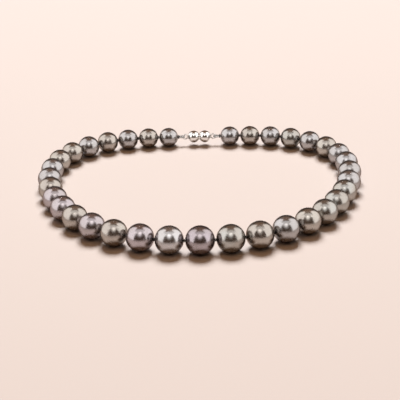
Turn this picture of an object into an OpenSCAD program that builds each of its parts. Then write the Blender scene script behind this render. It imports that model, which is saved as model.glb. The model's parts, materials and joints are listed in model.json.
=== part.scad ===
// Graduated pearl necklace: round pearls knotted one by one on a silk cord, closed at the
// back by a two-ball magnetic clasp. It lies flat on its pearls, in the oval that it takes
// round a neck. The origin is under the middle of the oval, +Z is up, the largest pearl is
// at the front (-Y) and the clasp at the back (+Y). Millimetres.

/* [Pearls] */
// Number of pearls on each side of the centre pearl
side_pearls = 17; // [14:1:20]
// Diameter of the centre pearl, the largest
centre_d = 14.5; // [12:0.1:15]
// Diameter of the two smallest pearls, beside the clasp
end_d = 10; // [9:0.1:12]
// Diameter of the hole drilled through each pearl
drill_d = 0.9; // [0.8:0.05:1.1]

/* [Silk cord] */
// Diameter of the silk cord
cord_d = 0.6; // [0.5:0.05:0.7]
// Gap that a knot holds open between two pearls
knot_gap = 0.65; // [0.6:0.05:1]
// Diameter of a knot
knot_d = 2; // [1.5:0.1:2.1]
// Thickness of a knot along the cord, less than the gap
knot_t = 0.5; // [0.4:0.05:0.55]

/* [Oval] */
// Fullness of the oval at the back against the front, in degrees of heading
back_swell = -5; // [-8:0.5:4]
// Fullness of the oval's front and back quarters together, in degrees of heading
quarter_swell = 7; // [0:0.5:8]
// Squareness of the oval's corners, in degrees of heading
corner_swell = -5.5; // [-6:0.5:2]

/* [Clasp] */
// Diameter of each ball of the clasp
ball_d = 6.4; // [6:0.1:8]
// Diameter of the flat face where the two balls meet
face_d = 3; // [2.8:0.1:3.2]
// Gap between the two faces of the closed clasp
face_gap = 0.2; // [0.2:0.02:0.4]
// Diameter of the disc magnet in each ball
magnet_d = 2.2; // [1.8:0.1:2.4]
// Thickness of the disc magnet
magnet_t = 2; // [1.5:0.1:2.5]
// Wire diameter of the end ring soldered to each ball
ring_wire_d = 0.7; // [0.6:0.05:0.8]
// Inner diameter of the end ring
ring_bore_d = 1.8; // [1.7:0.1:2.2]

/* [French wire] */
// Outer diameter of the coiled French wire that shields the cord in the end ring
french_d = 0.95; // [0.85:0.05:1]
// Length from the last pearl to the French wire's bend
french_reach = 2.6; // [2.4:0.1:3.2]

/* [Hidden] */
$fn = 64;
slack = 0.06;          // running clearance round wires and in pockets
solder = 0.25;         // depth that the end ring sinks into its ball
overtones = ["#6f6765", "#7b6f70", "#6a6b66", "#75696c", "#737170"];

count = 2 * side_pearls + 1;
pearl_names = [for (k = [1:count]) str("pearl_", k < 10 ? "0" : "", k)];

// Running total of a list, up to and with item i
function total(list, i) = i == 0 ? list[0] : list[i] + total(list, i - 1);
// Radius of pearl i, counted from the centre pearl, which is 0
function pearl_r(i) = (centre_d - (centre_d - end_d) * i / side_pearls) / 2;

// Lengths of the clasp, outward from the middle of the closed clasp
ball_r = ball_d / 2;
face_x = face_gap / 2;
ball_x = face_x + sqrt(ball_r * ball_r - face_d * face_d / 4);
ring_r = (ring_bore_d + ring_wire_d) / 2;
ring_x = ball_x + ball_r - solder + ring_r + ring_wire_d / 2;
clasp_half = ring_x + ring_r;
// Radius of the French wire's bend round the end ring's wire
french_r = ring_wire_d / 2 + slack + french_d / 2;
// The knot at the end of the strand is large enough to hold both ends of the end loop
end_knot_d = 2 * french_r + cord_d + slack;

// Link i is pearl i with half a knot gap on each side. The last link also holds the French
// wire, and ends where the end ring hangs in it.
links = [for (i = [0:side_pearls]) 2 * pearl_r(i) + knot_gap];
last_reach = links[side_pearls] - knot_gap / 2 + french_reach;
reaches = [for (i = [0:side_pearls])
    i == 0 ? links[0] / 2 : i == side_pearls ? last_reach : links[i]];
arm_length = total(reaches, side_pearls) + clasp_half;
mid_arcs = [for (i = [0:side_pearls])
    i == 0 ? 0 : total(reaches, i) - reaches[i] + links[i] / 2];

// Heading of the cord at a fraction u of the way from the centre pearl to the clasp. The
// lean is what makes the two arms meet at the clasp.
function heading(u, lean) = 180 * u + lean * sin(180 * u) + back_swell * sin(360 * u)
    + quarter_swell * sin(540 * u) + corner_swell * sin(720 * u);
function headings(lean) = [for (s = mid_arcs) heading(s / arm_length, lean)];
function steps(lean) = let (h = headings(lean))
    [for (i = [0:side_pearls]) reaches[i] * [cos(h[i]), sin(h[i])]];
function miss(lean) = total(steps(lean), side_pearls)[0] - clasp_half;
function closing_lean(lean, tries) = tries == 0 ? lean
    : let (here = miss(lean), there = miss(lean + 1))
      closing_lean(lean - here / (there - here), tries - 1);

lean = closing_lean(0, 6);
turns = headings(lean);
moves = steps(lean);
// Distance of pearl i's centre behind the centre pearl's, then the shift that centres the
// whole necklace on Y
function pearl_back(i) = total(moves, i - 1)[1] + links[i] / 2 * sin(turns[i]);
back_edge = max([for (i = [1:side_pearls]) pearl_back(i) + pearl_r(i)]);
shift_y = (centre_d / 2 - back_edge) / 2;

// Height of the cord at joint i. The last pearl's hole points at the clasp.
function joint_z(i) = i < side_pearls ? pearl_r(i + 0.5)
    : pearl_r(i) + (pearl_r(i) - pearl_r(i - 0.5)) * (last_reach / links[i] * 2 - 1);
// Joint i is the knot outside pearl i, and the last one is the end ring's wire
joints = [for (i = [0:side_pearls])
    [total(moves, i)[0], total(moves, i)[1] + shift_y, joint_z(i)]];
clasp_y = joints[side_pearls][1];
clasp_z = joints[side_pearls][2];
centre_start = [-joints[0][0], joints[0][1], joints[0][2]];

// A stretch of cord from joint a to joint b. Its ends stop inside the knots at the joints.
module stretch(a, b) {
    v = b - a;
    translate(a) rotate([0, acos(v[2] / norm(v)), atan2(v[1], v[0])])
        translate([0, 0, knot_t / 4]) cylinder(d = cord_d, h = norm(v) - knot_t / 2);
}

// Places its children in link i's own frame: +X along the cord, from the joint before it
module in_link(i) {
    start = i == 0 ? centre_start : joints[i - 1];
    v = joints[i] - start;
    translate(start) rotate([0, acos(v[2] / norm(v)) - 90, atan2(v[1], v[0])]) children();
}

// Mirrors its children to the left arm when side is -1
module on_side(side) {
    if (side < 0) mirror([1, 0, 0]) children();
    else children();
}

// A round pearl drilled through its middle. The step counts from the centre pearl.
module pearl(step) {
    i = abs(step);
    end = links[i];
    on_side(step) color(overtones[(step + side_pearls) * 2 % len(overtones)]) in_link(i)
        difference() {
            translate([end / 2, 0, 0]) rotate([0, 0, 90]) sphere(r = pearl_r(i));
            translate([-1, 0, 0]) rotate([0, 90, 0]) cylinder(d = drill_d, h = end + 2);
        }
}

// A knot of diameter d: a thick disc with chamfered edges, its axis along X
module knot(d) {
    r = d / 2;
    c = knot_t / 4;
    rotate([0, 90, 0]) rotate_extrude() polygon([
        [0, -knot_t / 2], [r - c, -knot_t / 2], [r, c - knot_t / 2],
        [r, knot_t / 2 - c], [r - c, knot_t / 2], [0, knot_t / 2]
    ]);
}

// The loop that leaves the last pearl, goes round the end ring's wire and comes back
module end_loop(d, from) {
    bend_x = last_reach;
    for (y = [-french_r, french_r])
        translate([from, y, 0]) rotate([0, 90, 0]) cylinder(d = d, h = bend_x - from);
    translate([bend_x, 0, 0]) rotate([0, 0, -90])
        rotate_extrude(angle = 180) translate([french_r, 0]) circle(d = d);
}

// One arm of the cord: through its pearls, a knot after each, then the end loop
module cord_arm() {
    end_knot_x = links[side_pearls];
    for (i = [1:side_pearls - 1]) stretch(joints[i - 1], joints[i]);
    for (i = [0:side_pearls - 1])
        translate(joints[i]) rotate([0, 0, (turns[i] + turns[i + 1]) / 2]) knot(knot_d);
    in_link(side_pearls) {
        translate([knot_t / 4, 0, 0]) rotate([0, 90, 0])
            cylinder(d = cord_d, h = end_knot_x - knot_t / 4);
        translate([end_knot_x, 0, 0]) knot(end_knot_d);
        end_loop(cord_d, end_knot_x);
    }
}

module silk_cord() {
    color("#2e2a2b") {
        stretch(centre_start, joints[0]);
        for (side = [-1, 1]) on_side(side) cord_arm();
    }
}

// Coiled wire sleeve over the end loop, open inside for the cord
module french_wire(side) {
    start = links[side_pearls] + knot_t / 2 + slack;
    color("#b9bbbe") on_side(side) in_link(side_pearls) difference() {
        end_loop(french_d, start);
        end_loop(cord_d + slack, start - 1);
    }
}

// Places its children on the clasp's axis, on one side of its middle
module at_clasp(side) {
    on_side(side) translate([0, clasp_y, clasp_z]) children();
}

module end_ring(side) {
    color("#c9cbce") at_clasp(side) translate([ring_x, 0, 0]) rotate([90, 0, 0])
        rotate_extrude() translate([ring_r, 0]) circle(d = ring_wire_d);
}

// A ball with a flat face towards the other half, and a pocket for the magnet
module clasp_ball(side) {
    color("#c9cbce") at_clasp(side) difference() {
        translate([ball_x, 0, 0]) sphere(d = ball_d);
        translate([face_x - ball_d, -ball_r, -ball_r]) cube(ball_d);
        translate([face_x - 1, 0, 0]) rotate([0, 90, 0])
            cylinder(d = magnet_d + slack, h = magnet_t + slack + 1);
    }
}

module clasp_magnet(side) {
    color("#8f9296") at_clasp(side) translate([face_x, 0, 0]) rotate([0, 90, 0])
        cylinder(d = magnet_d, h = magnet_t);
}

for (k = [1:count])
    pearl(k - side_pearls - 1);
silk_cord();
french_wire(-1);  // french_wire_left
french_wire(1);  // french_wire_right
end_ring(-1);  // end_ring_left
end_ring(1);  // end_ring_right
clasp_ball(-1);  // clasp_ball_left
clasp_ball(1);  // clasp_ball_right
clasp_magnet(-1);  // clasp_magnet_left
clasp_magnet(1);  // clasp_magnet_right
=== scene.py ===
"""Graduated pearl necklace: nacre pearls, silk cord and knots, French wire and ball clasp."""
import json
import math

import bpy
from mathutils import Matrix, Vector, noise


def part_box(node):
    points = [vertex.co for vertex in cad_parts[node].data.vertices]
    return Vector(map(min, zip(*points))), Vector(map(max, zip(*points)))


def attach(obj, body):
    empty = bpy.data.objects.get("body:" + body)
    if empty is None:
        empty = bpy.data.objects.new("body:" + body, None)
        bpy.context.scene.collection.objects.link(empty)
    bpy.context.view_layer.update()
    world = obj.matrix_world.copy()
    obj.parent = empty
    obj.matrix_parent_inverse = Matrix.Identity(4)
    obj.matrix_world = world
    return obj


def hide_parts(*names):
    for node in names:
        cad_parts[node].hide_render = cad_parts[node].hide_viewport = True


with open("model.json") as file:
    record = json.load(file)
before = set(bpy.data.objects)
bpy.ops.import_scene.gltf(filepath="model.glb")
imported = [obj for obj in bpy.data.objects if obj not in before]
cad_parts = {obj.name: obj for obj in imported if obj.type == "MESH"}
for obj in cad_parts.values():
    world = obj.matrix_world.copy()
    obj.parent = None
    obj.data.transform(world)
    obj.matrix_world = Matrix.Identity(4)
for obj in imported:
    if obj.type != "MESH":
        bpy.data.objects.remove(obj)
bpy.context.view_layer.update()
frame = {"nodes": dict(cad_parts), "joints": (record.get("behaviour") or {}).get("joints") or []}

MM = 0.001

# ---------------------------------------------------------------- camera, lights and floor

CAMERA_DISTANCE = 1.2          # metres from the middle of the oval
CAMERA_ELEVATION = 24          # degrees above the surface
CAMERA_AZIMUTH = 0.4           # degrees, 0 looks along +Y
CAMERA_ROLL = 1.5              # degrees, the left side of the picture hangs lower
LENS_MM = 212                  # on Blender's 36 mm sensor
AIM_BELOW = 1.7 * MM           # the picture's middle is this far below the oval's middle
WALL = 1.7                     # how bright the upright lights look
LAMP = 38.0                    # how bright the floor lamp is
FLOOR_HALF = 4.0               # half the floor's side, in metres
SIDES = {"left": -1, "right": 1}


def towards(azimuth, elevation):
    """Unit vector from the necklace towards azimuth 0 at the front (-Y), growing to +X."""
    a, e = math.radians(azimuth), math.radians(elevation)
    return Vector((math.sin(a) * math.cos(e), -math.cos(a) * math.cos(e), math.sin(e)))


def facing(place, target, roll=0.0):
    """World matrix of a camera or light at place that looks at target, right side up."""
    back = (place - target).normalized()
    right = Vector((0, 0, 1)).cross(back).normalized()
    up = back.cross(right)
    turn = Matrix((right, up, back)).transposed().to_4x4()
    return Matrix.Translation(place) @ turn @ Matrix.Rotation(math.radians(roll), 4, "Z")


def add_camera():
    """The camera, in front of the necklace and a little above it."""
    data = bpy.data.cameras.new("camera")
    data.lens = LENS_MM
    data.clip_start = 0.01
    camera = bpy.data.objects.new("camera", data)
    bpy.context.scene.collection.objects.link(camera)
    view = towards(CAMERA_AZIMUTH, CAMERA_ELEVATION)
    up = Vector((0, 0, 1)) - view * view.z
    target = Vector((0, 0.001, 0)) - up.normalized() * AIM_BELOW
    camera.matrix_world = facing(target + view * CAMERA_DISTANCE, target, -CAMERA_ROLL)
    bpy.context.scene.camera = camera


def add_softbox(name, azimuth, elevation, distance, width, height, radiance, colour, target,
                shape="RECTANGLE"):
    """A soft light aimed at target. Radiance is how bright it looks."""
    data = bpy.data.lights.new(name, "AREA")
    data.shape = shape
    data.size, data.size_y = width, height
    area = width * height * (math.pi / 4 if shape == "ELLIPSE" else 1)
    data.energy = radiance * area * math.pi
    data.color = colour
    light = bpy.data.objects.new(name, data)
    bpy.context.scene.collection.objects.link(light)
    light.matrix_world = facing(towards(azimuth, elevation) * distance, target)
    return light


def add_wall(name, azimuth, width, top, radiance, colour):
    """An upright light that stands on the floor, one metre from the necklace."""
    elevation = math.degrees(math.atan(top / 2))
    place = towards(azimuth, elevation) * math.hypot(1, top / 2)
    return add_softbox(name, azimuth, elevation, place.length, width, top, radiance, colour,
                       Vector((0, 0, place.z)))


def add_lights():
    """Two wings of upright lights with a ceiling light between them. The gap round the camera
    is the dark patch in the middle of each pearl, with the key light in its top, and the gap
    at the back is the dark cap on top."""
    white = (1.0, 0.985, 0.975)
    middle = Vector((0, 0, 0))
    walls = (("front", 73, 0.93, 1.7), ("rear", 120.5, 0.82, 2.1))  # azimuth, width, height
    for side, sign in SIDES.items():
        for wall, azimuth, width, top in walls:
            light = add_wall(f"{wall}_wall_{side}", sign * azimuth, width, top, WALL, white)
            light.visible_diffuse = False   # seen in the pearls only, it leaves their shadow deep
    lamp = add_softbox("floor_lamp", 180, 60, 2.6, 1.2, 1.2, LAMP, white, middle)
    lamp.visible_glossy = False             # lights the floor only
    # name, elevation, distance, width, height, brightness against a wall's, shape
    front_lights = (
        ("ceiling", 75, 1.5, 1.7, 0.95, 0.58, "RECTANGLE"),
        ("key", 54, 0.9, 0.34, 0.34, 0.46, "ELLIPSE"),
        ("key_halo", 53, 1.0, 0.52, 0.52, 0.44, "ELLIPSE"),
        ("key_bloom", 49, 1.1, 0.76, 0.72, 0.30, "ELLIPSE"),
        ("key_foot", 33, 1.2, 0.66, 0.48, 0.10, "ELLIPSE"),
    )
    for name, elevation, distance, width, height, share, shape in front_lights:
        light = add_softbox(name, 0, elevation, distance, width, height, share * WALL, white,
                            middle, shape)
        light.visible_diffuse = False       # in the pearls only, as the walls are
    fill = add_softbox("warm_fill", 0, 70, 1.5, 1.6, 1.6, 1.15, (1.0, 0.58, 0.30), middle)
    fill.visible_glossy = False             # warms the shadows under the pearls
    add_softbox("rear_card", 180, 60, 1.3, 1.2, 1.1, 0.19, (1.0, 0.56, 0.34), middle)


def add_world():
    """A dim, warm studio."""
    world = bpy.data.worlds.new("studio")
    world.use_nodes = True
    background = world.node_tree.nodes["Background"]
    background.inputs["Color"].default_value = (1.0, 0.60, 0.40, 1)
    background.inputs["Strength"].default_value = 0.085
    bpy.context.scene.world = world


def add_stage_object(name, points, faces):
    """A floor or backdrop, which isn't part of the necklace."""
    mesh = bpy.data.meshes.new(name)
    mesh.from_pydata(points, [], faces)
    stage_object = bpy.data.objects.new(name, mesh)
    bpy.context.scene.collection.objects.link(stage_object)
    return stage_object


def add_floor():
    """A pale matt floor under the necklace."""
    corners = [(x * FLOOR_HALF, y * FLOOR_HALF, 0) for x, y in ((-1, -1), (1, -1), (1, 1), (-1, 1))]
    floor = add_stage_object("floor", corners, [(0, 1, 2, 3)])
    material, shader, _, _ = new_material("pale_floor")
    shader.inputs["Base Color"].default_value = (0.39, 0.352, 0.336, 1)
    shader.inputs["Sheen Weight"].default_value = 0.8
    shader.inputs["Sheen Roughness"].default_value = 0.3
    shader.inputs["Roughness"].default_value = 0.7
    shader.inputs["Specular IOR Level"].default_value = 0
    floor.data.materials.append(material)


def add_backdrop():
    """A pale wall all round the floor that glows by its own emission, with painted shade at its
    foot that matches the floor's light where it fades. It shows to the camera only, so that the
    pearls still mirror the dim studio."""
    radius, height, columns = FLOOR_HALF - 0.1, 4.0, 96
    turns = [2 * math.pi * j / columns for j in range(columns)]
    points = [(radius * math.sin(t), radius * math.cos(t), z) for z in (0, height) for t in turns]
    backdrop = add_stage_object("backdrop", points, grid_faces(2, columns))
    material, shader, nodes, links = new_material("pale_backdrop")
    shader.inputs["Base Color"].default_value = (0, 0, 0, 1)
    shader.inputs["Specular IOR Level"].default_value = 0
    place = nodes.new("ShaderNodeTexCoord")
    split = nodes.new("ShaderNodeSeparateXYZ")
    links.new(place.outputs["Object"], split.inputs[0])
    # painted shade: the glow is darker at the wall's foot, to match the floor's light fading
    # towards it
    foot, wall = (0.15, 0.116, 0.098), (0.54, 0.447, 0.40)
    glow_with_painted_shade = add_ramp(nodes, links, split.outputs["Z"], [(0.0, foot), (0.25, wall)])
    links.new(glow_with_painted_shade, shader.inputs["Emission Color"])
    shader.inputs["Emission Strength"].default_value = 1.0
    backdrop.data.materials.append(material)
    for ray in ("diffuse", "glossy", "transmission", "volume_scatter", "shadow"):
        setattr(backdrop, f"visible_{ray}", False)


# ---------------------------------------------------------------- materials


def new_material(name):
    """A new material, with its shader, nodes and links."""
    material = bpy.data.materials.new(name)
    material.use_nodes = True
    nodes, links = material.node_tree.nodes, material.node_tree.links
    return material, nodes["Principled BSDF"], nodes, links


def add_noise(nodes, links, scale, detail=3.0, seed=0.0):
    """A noise texture on the object's own coordinates. Scale is per metre, and each seed has its
    own stretch of the noise."""
    place = nodes.new("ShaderNodeTexCoord")
    shift = nodes.new("ShaderNodeVectorMath")
    shift.operation = "ADD"
    shift.inputs[1].default_value = (seed * 0.013, seed * 0.009, seed * 0.004)
    links.new(place.outputs["Object"], shift.inputs[0])
    texture = nodes.new("ShaderNodeTexNoise")
    texture.inputs["Scale"].default_value = scale
    texture.inputs["Detail"].default_value = detail
    links.new(shift.outputs[0], texture.inputs["Vector"])
    return texture.outputs["Fac"]


def add_ramp(nodes, links, factor, stops):
    """A colour ramp through stops of (place, colour)."""
    ramp = nodes.new("ShaderNodeValToRGB")
    ramp.color_ramp.interpolation = "EASE"
    elements = ramp.color_ramp.elements
    while len(elements) < len(stops):
        elements.new(0.5)
    for element, (place, colour) in zip(elements, stops):
        element.position = place
        element.color = (*colour, 1)
    links.new(factor, ramp.inputs["Fac"])
    return ramp.outputs["Color"]


def add_bump(nodes, links, shader, height, strength, distance):
    """Ruffles the shader's surface by a height that is distance metres at its most."""
    bump = nodes.new("ShaderNodeBump")
    bump.inputs["Strength"].default_value = strength
    bump.inputs["Distance"].default_value = distance
    links.new(height, bump.inputs["Height"])
    links.new(bump.outputs["Normal"], shader.inputs["Normal"])


def span(low, high):
    """Ramp stops that spread a noise texture's usual values from one colour to another."""
    return [(0.3, low), (0.7, high)]


def grey_span(low, high):
    return span((low,) * 3, (high,) * 3)


# Overtones of the nacre: the body's colour, and the tint that drifts over it
OVERTONES = {
    "pale": ((0.45, 0.432, 0.43), (0.50, 0.487, 0.495)),
    "silver": ((0.385, 0.367, 0.362), (0.42, 0.408, 0.414)),
    "bronze": ((0.38, 0.343, 0.313), (0.42, 0.39, 0.355)),
    "rose": ((0.375, 0.338, 0.338), (0.435, 0.392, 0.415)),
    "plum": ((0.33, 0.292, 0.298), (0.39, 0.345, 0.372)),
    "green": ((0.375, 0.35, 0.32), (0.405, 0.403, 0.385)),
}


def nacre(overtone, seed):
    """Dark nacre: a mirror-like body whose tint drifts over the pearl."""
    body, drift = OVERTONES[overtone]
    material, shader, nodes, links = new_material(f"nacre_{overtone}_{seed:02d}")
    drifting = add_noise(nodes, links, 130, 2, seed)
    colour = add_ramp(nodes, links, drifting, span(body, drift))
    links.new(colour, shader.inputs["Base Color"])
    shader.inputs["Metallic"].default_value = 0.97
    cloud = add_noise(nodes, links, 420, 4, seed + 3.1)
    rough = add_ramp(nodes, links, cloud, grey_span(0.20, 0.28))
    links.new(rough, shader.inputs["Roughness"])
    shader.inputs["Specular Tint"].default_value = (0.32, 0.25, 0.21, 1)
    shader.inputs["Coat Weight"].default_value = 0.08
    shader.inputs["Coat Roughness"].default_value = 0.08
    ripple = add_noise(nodes, links, 600, 1.5, seed + 7.7)
    add_bump(nodes, links, shader, ripple, 0.05, 0.0001)
    return material


def silk():
    """Dark silk: matt fibres with a soft sheen."""
    material, shader, nodes, links = new_material("dark_silk")
    fibres = add_noise(nodes, links, 9000, 4)
    colour = add_ramp(nodes, links, fibres, span((0.012, 0.010, 0.011), (0.035, 0.03, 0.03)))
    links.new(colour, shader.inputs["Base Color"])
    shader.inputs["Roughness"].default_value = 0.65
    shader.inputs["Sheen Weight"].default_value = 0.12
    add_bump(nodes, links, shader, fibres, 0.5, 0.00003)
    return material


def white_metal(name, tint, rough_low, rough_high):
    """Polished white metal with fine scuffs."""
    material, shader, nodes, links = new_material(name)
    cloud = add_noise(nodes, links, 900, 5)
    colour = add_ramp(nodes, links, cloud, span(tuple(0.93 * c for c in tint), tint))
    links.new(colour, shader.inputs["Base Color"])
    shader.inputs["Metallic"].default_value = 1.0
    rough = add_ramp(nodes, links, cloud, grey_span(rough_low, rough_high))
    links.new(rough, shader.inputs["Roughness"])
    scuffs = add_noise(nodes, links, 6000, 2)
    add_bump(nodes, links, shader, scuffs, 0.08, 0.00002)
    return material


# ---------------------------------------------------------------- meshes


def add_piece(name, points, faces, material, body, stands_for):
    """A piece of the necklace that rides on a body and stands for a CAD node."""
    mesh = bpy.data.meshes.new(name)
    mesh.from_pydata(points, [], faces)
    mesh.validate()
    mesh.shade_smooth()
    mesh.materials.append(material)
    piece = bpy.data.objects.new(name, mesh)
    bpy.context.scene.collection.objects.link(piece)
    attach(piece, body)
    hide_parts(stands_for)


def grid_faces(rows, columns, wrap_rows=False):
    """Quads of a grid of points that closes round its columns, and round its rows too if asked."""
    faces = []
    for i in range(rows if wrap_rows else rows - 1):
        for j in range(columns):
            a, b = i * columns, (i + 1) % rows * columns
            k = (j + 1) % columns
            faces.append((a + j, a + k, b + k, b + j))
    return faces


def axes_along(direction):
    """Three perpendicular unit vectors, the first one along direction."""
    x = direction.normalized()
    z = (Vector((0, 0, 1)) - x * x.z).normalized()
    return x, z.cross(x), z


def lathe(profile, centre, direction, segments, poles=False):
    """A closed solid turned about an axis. The profile is a list of (along, radius) that joins
    up end to start, or with poles one that starts and ends on the axis."""
    x, y, z = axes_along(direction)
    rings = profile[1:-1] if poles else profile
    points = []
    for along, radius in rings:
        for j in range(segments):
            a = 2 * math.pi * j / segments
            points.append(centre + x * along + (y * math.cos(a) + z * math.sin(a)) * radius)
    faces = grid_faces(len(rings), segments, wrap_rows=not poles)
    if poles:
        last = (len(rings) - 1) * segments
        for (along, _), start, step in ((profile[0], 0, -1), (profile[-1], last, 1)):
            tip = len(points)
            points.append(centre + x * along)
            for j in range(segments):
                edge = (start + j, start + (j + 1) % segments)
                faces.append((*edge[::step], tip))
    return points, faces


def arc(radius, first, last, steps):
    """Points of an arc, as (along, radius) pairs. Angles are in degrees from the axis."""
    turns = [math.radians(first + (last - first) * i / steps) for i in range(steps + 1)]
    return [(radius * math.cos(t), radius * math.sin(t)) for t in turns]


def sweep(path, radius, sides, plies=0, ply_depth=0.0, twist_length=1.0, closed=False):
    """A round tube along a path. With plies, it is that many strands twisted together."""
    count = len(path)
    points, travelled = [], 0.0
    normal = None
    for i, place in enumerate(path):
        if closed:
            ahead = path[(i + 1) % count] - path[i - 1]
        else:
            ahead = path[min(i + 1, count - 1)] - path[max(i - 1, 0)]
        ahead.normalize()
        if normal is None:
            normal = ahead.orthogonal()
        normal = (normal - ahead * normal.dot(ahead)).normalized()
        side = ahead.cross(normal)
        if i:
            travelled += (place - path[i - 1]).length
        for j in range(sides):
            a = 2 * math.pi * j / sides
            ply = math.cos(plies * a - 2 * math.pi * travelled / twist_length) if plies else 0
            r = radius * (1 - ply_depth * (0.5 - 0.5 * ply))
            points.append(place + (normal * math.cos(a) + side * math.sin(a)) * r)
    faces = grid_faces(count, sides, wrap_rows=closed)
    if not closed:
        faces.append(tuple(range(sides))[::-1])
        faces.append(tuple((count - 1) * sides + j for j in range(sides)))
    return points, faces


# ---------------------------------------------------------------- the strand

joint_place = {j["name"]: Vector(j["pos_m"]) for j in frame["joints"]}
pearl_names = sorted(n for n in frame["nodes"] if n.startswith("pearl_"))
count = len(pearl_names)
knot_places = [joint_place[f"knot_{k:02d}_{k + 1:02d}"] for k in range(1, count)]
places = [joint_place["end_ring_swing_left"], *knot_places, joint_place["end_ring_swing_right"]]

KNOT_GAP = 0.65 * MM
BORE_R = 0.45 * MM
CORD_R = 0.27 * MM
CORD_LAY = 1.1 * MM             # length of one twist of the cord's plies
CORD_SIDES, CORD_PLIES, PLY_DEPTH = 12, 3, 0.25
KNOT_CORD_R = 0.215 * MM        # radius of the cord where a knot draws it tight
KNOT_LAY = 0.9 * MM             # the same in a knot, where it is drawn tight
KNOT_WEAVE = 0.09 * MM          # how far a knot's turns weave along the cord
KNOT_SIZE = (0.55 * MM, 0.2 * MM)      # radius of a knot's turns, and how far they weave in and out
END_KNOT_SIZE = (0.74 * MM, 0.24 * MM)
PEARL_RINGS, PEARL_SEGMENTS = 64, 92
BROAD_FLAW, FINE_FLAW = 0.006, 0.0015  # how far a pearl is out of round, against its radius

# Dimples in the nacre: azimuth and elevation in degrees, radius and depth in mm
DIMPLES = {
    "pearl_10": [(-33, -11, 0.8, 0.13)],
    "pearl_14": [(-17, -9, 0.6, 0.07)],
    "pearl_15": [(25, 37, 0.7, 0.05), (-25, -16, 0.6, 0.06)],
}

# Overtone of each pearl, from the left end to the right end
STRAND = """
    silver bronze silver bronze silver bronze bronze silver silver bronze rose rose bronze
    rose bronze rose pale plum green bronze silver bronze green green green silver silver
    silver silver bronze silver green silver bronze silver
""".split()


def dent(out, radius, dimples):
    """How deep the dimples are at the point of the pearl that lies in direction out."""
    depth = 0.0
    for azimuth, elevation, reach, bottom in dimples:
        away = radius * out.angle(towards(azimuth, elevation)) / (reach * MM)
        if away < 1:
            depth += bottom * MM * (0.5 + 0.5 * math.cos(math.pi * away))
    return depth


def pearl_shape(centre, radius, direction, seed, dimples):
    """A drilled pearl: nearly round, with a rounded mouth at each end of its hole."""
    mouth = 0.16 * MM
    first = math.asin((BORE_R + mouth) / radius)
    reach = radius * math.cos(first)
    turns = [first + (math.pi - 2 * first) * i / PEARL_RINGS for i in range(PEARL_RINGS + 1)]
    outer = [(radius * math.cos(t), radius * math.sin(t)) for t in turns]
    bore_end = reach - 0.12 * MM
    half_bore = [(reach - 0.02 * MM, BORE_R + 0.06 * MM), (bore_end, BORE_R),
                 (bore_end / 2, BORE_R)]
    profile = outer + [(-along, r) for along, r in half_bore] + half_bore[::-1]
    points, faces = lathe(profile, Vector((0, 0, 0)), direction, PEARL_SEGMENTS)
    shift = Vector((seed * 3.7, seed * 1.3, -seed * 2.1))
    shaped = []
    for p in points:
        out = p.normalized()
        broad = noise.noise(out * 1.1 + shift)
        fine = noise.noise(out * 4.5 - shift)
        flaw = BROAD_FLAW * (0.6 + 0.6 * broad) + FINE_FLAW * (0.5 + 0.5 * fine)
        shaped.append(centre + p * (1 - flaw) - out * dent(out, radius, dimples))
    return shaped, faces


def ball_of(node):
    """Centre and radius of a round CAD node."""
    low, high = (Vector(c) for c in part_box(node))
    return (low + high) / 2, (high.z - low.z) / 2


def add_pearls():
    """Each pearl, in the nacre of its own overtone."""
    for k, name in enumerate(pearl_names):
        centre, radius = ball_of(name)
        points, faces = pearl_shape(centre, radius, places[k + 1] - places[k], k + 1,
                                    DIMPLES.get(name, ()))
        add_piece(f"{name}_nacre", points, faces, nacre(STRAND[k], k + 1), name, name)


def add_silk(name, path, material, body):
    """A stretch of twisted silk along a path."""
    points, faces = sweep(path, CORD_R, CORD_SIDES, CORD_PLIES, PLY_DEPTH, CORD_LAY)
    add_piece(name, points, faces, material, body, "silk_cord")


def add_knot(name, centre, direction, size, material, body):
    """A knot of twisted silk round the cord."""
    path = knot_path(centre, direction, *size)
    points, faces = sweep(path, KNOT_CORD_R, CORD_SIDES, CORD_PLIES, PLY_DEPTH, KNOT_LAY,
                          closed=True)
    add_piece(name, points, faces, material, body, "silk_cord")


def add_cord(material):
    """A stretch of silk through each pearl, from the middle of one gap to the next."""
    steps = 60
    for k, name in enumerate(pearl_names):
        along = (places[k + 1] - places[k]).normalized()
        centre, radius = ball_of(name)
        half = radius + KNOT_GAP / 2
        path = [centre + along * half * (2 * i / steps - 1) for i in range(steps + 1)]
        add_silk(f"{name}_cord", path, material, name)


def knot_path(centre, direction, turn_r, wave_r):
    """Two turns round the cord that cross each other three times."""
    x, y, z = axes_along(direction)
    steps, path = 84, []
    for i in range(steps):
        t = 2 * math.pi * i / steps
        r = turn_r + wave_r * math.cos(3 * t)
        around = y * math.cos(2 * t) + z * math.sin(2 * t)
        path.append(centre + around * r + x * KNOT_WEAVE * math.sin(3 * t))
    return path


def add_knots(material):
    """A knot in each gap, which rides on the pearl nearer to the centre pearl."""
    centre_pearl = (count + 1) // 2
    for k, place in enumerate(knot_places):
        before, after = k + 1, k + 2
        owner = min(before, after, key=lambda b: abs(b - centre_pearl))
        direction = (places[k + 2] - places[k]).normalized()
        add_knot(f"knot_{before:02d}_{after:02d}_silk", place, direction, KNOT_SIZE, material,
                 f"pearl_{owner:02d}")


# ---------------------------------------------------------------- ends and clasp

FRENCH_R = 0.885 * MM           # bend of the French wire round the end ring
FRENCH_LEG = 1.88 * MM          # straight part of the French wire on each side of the bend
FRENCH_COIL_R = 0.395 * MM      # from the middle of the coil to the middle of its wire
FRENCH_WIRE_R = 0.08 * MM
KNOT_BACK = FRENCH_LEG + 0.4 * MM       # from the end ring's joint back to the end knot


def end_frame(side):
    """The end ring's joint, the cord's direction there, and the end pearl's body."""
    pivot, before, body = ((places[0], places[1], pearl_names[0]) if side == "left"
                           else (places[-1], places[-2], pearl_names[-1]))
    return pivot, (pivot - before).normalized(), body


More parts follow.
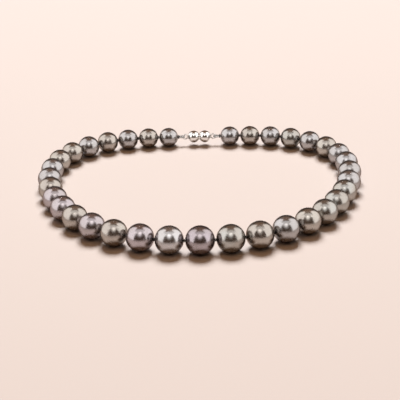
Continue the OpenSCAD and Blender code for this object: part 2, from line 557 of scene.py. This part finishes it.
def end_loop(side, leg, spacing):
    """Points along the end loop, each with the direction out of the loop's bend there, and the
    direction square to the loop's plane."""
    pivot, along, _ = end_frame(side)
    across = Vector((0, 0, 1)).cross(along).normalized()
    length = 2 * leg + math.pi * FRENCH_R
    steps = round(length / spacing)
    path = []
    for i in range(steps + 1):
        s = length * i / steps
        turn = min(max(s - leg, 0), math.pi * FRENCH_R) / FRENCH_R
        straight = min(s - leg, 0) if s < leg else min(leg + math.pi * FRENCH_R - s, 0)
        outward = across * math.cos(turn) + along * math.sin(turn)
        path.append((pivot + outward * FRENCH_R + along * straight, outward))
    return path, along.cross(across)


def add_french_wire(side, material):
    """A close helix of fine wire wound along the end loop."""
    per_turn, pitch = 14, 2.05 * FRENCH_WIRE_R
    path, above = end_loop(side, FRENCH_LEG, pitch / per_turn)
    coil = []
    for i, (place, outward) in enumerate(path):
        a = 2 * math.pi * i / per_turn
        coil.append(place + (outward * math.cos(a) + above * math.sin(a)) * FRENCH_COIL_R)
    points, faces = sweep(coil, FRENCH_WIRE_R, 6)
    add_piece(f"french_wire_{side}_coil", points, faces, material, end_frame(side)[2],
              f"french_wire_{side}")


def add_end_cord(side, material):
    """The cord inside the French wire, and the large knot that both its ends leave from."""
    pivot, along, body = end_frame(side)
    path = [place for place, _ in end_loop(side, KNOT_BACK, 0.15 * MM)[0]]
    add_silk(f"end_loop_{side}_cord", path, material, body)
    add_knot(f"end_knot_{side}_silk", pivot - along * KNOT_BACK, along, END_KNOT_SIZE, material,
             body)


def clasp_lengths(side):
    """The clasp ball's centre and radius, and how far from the centre its flat face is."""
    low, high = (Vector(c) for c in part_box(f"clasp_ball_{side}"))
    ball_r = (high.z - low.z) / 2
    pole = max(abs(low.x), abs(high.x))
    face = min(abs(low.x), abs(high.x))
    middle = (low + high) / 2
    centre = Vector((SIDES[side] * (pole - ball_r), middle.y, middle.z))
    return centre, ball_r, face - (pole - ball_r)


def magnet_lengths(side):
    """The magnet's radius and thickness."""
    low, high = (Vector(c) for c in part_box(f"clasp_magnet_{side}"))
    return (high.z - low.z) / 2, high.x - low.x


def add_clasp_ball(side, material):
    """A ball with a flat, bevelled face, a pocket for its magnet, and a blob of solder where the
    end ring joins it."""
    centre, ball_r, flat = clasp_lengths(side)
    magnet_r, magnet_t = magnet_lengths(side)
    pocket_r, pocket_end = magnet_r + 0.03 * MM, flat + magnet_t + 0.06 * MM
    bevel = 0.14 * MM
    rim = math.degrees(math.acos((flat + bevel) / ball_r))
    rim_r = math.sqrt(ball_r ** 2 - (flat + bevel) ** 2)
    solder = 13                     # degrees from the axis where the solder begins
    profile = [(pocket_end, 0), (pocket_end, pocket_r), (flat + 0.04 * MM, pocket_r),
               (flat, pocket_r + 0.04 * MM), (flat, rim_r - 1.1 * bevel),
               (flat + 0.3 * bevel, rim_r - 0.42 * bevel),
               (flat + 0.6 * bevel, rim_r - 0.14 * bevel)]
    profile += arc(ball_r, rim, solder, 40)
    profile += [(ball_r + 0.02 * MM, 0.5 * MM), (ball_r + 0.12 * MM, 0.38 * MM),
                (ball_r + 0.16 * MM, 0.2 * MM), (ball_r + 0.17 * MM, 0)]
    points, faces = lathe(profile, centre, Vector((SIDES[side], 0, 0)), 72, poles=True)
    add_piece(f"clasp_ball_{side}_shell", points, faces, material, f"clasp_{side}",
              f"clasp_ball_{side}")


def add_magnet(side, material):
    """A disc with bevelled edges, flush with the ball's face."""
    centre, _, flat = clasp_lengths(side)
    magnet_r, magnet_t = magnet_lengths(side)
    edge = 0.08 * MM
    profile = [(flat, 0), (flat, magnet_r - edge), (flat + 0.3 * edge, magnet_r - 0.3 * edge),
               (flat + edge, magnet_r), (flat + magnet_t - edge, magnet_r),
               (flat + magnet_t, magnet_r - edge), (flat + magnet_t, 0)]
    points, faces = lathe(profile, centre, Vector((SIDES[side], 0, 0)), 48, poles=True)
    add_piece(f"clasp_magnet_{side}_disc", points, faces, material, f"clasp_{side}",
              f"clasp_magnet_{side}")


def add_end_ring(side, material):
    """A round wire ring, soldered to the back of the clasp ball."""
    low, high = (Vector(c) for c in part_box(f"end_ring_{side}"))
    middle, outer, wire_r = (low + high) / 2, (high.z - low.z) / 2, (high.y - low.y) / 2
    turns = [2 * math.pi * i / 64 for i in range(64)]
    path = [middle + Vector((math.cos(t), 0, math.sin(t))) * (outer - wire_r) for t in turns]
    points, faces = sweep(path, wire_r, 16, closed=True)
    add_piece(f"end_ring_{side}_wire", points, faces, material, f"clasp_{side}",
              f"end_ring_{side}")


# ---------------------------------------------------------------- build

add_camera()
add_lights()
add_world()
add_floor()
add_backdrop()
dark_silk = silk()
add_pearls()
add_cord(dark_silk)
add_knots(dark_silk)
white_gold = white_metal("white_gold", (0.80, 0.79, 0.77), 0.07, 0.16)
bright_wire = white_metal("bright_wire", (0.78, 0.77, 0.76), 0.16, 0.26)
nickel = white_metal("nickel_plate", (0.62, 0.60, 0.57), 0.22, 0.34)
for side in SIDES:
    add_french_wire(side, bright_wire)
    add_end_cord(side, dark_silk)
    add_clasp_ball(side, white_gold)
    add_magnet(side, nickel)
    add_end_ring(side, white_gold)

bpy.context.scene.view_settings.view_transform = "Standard"
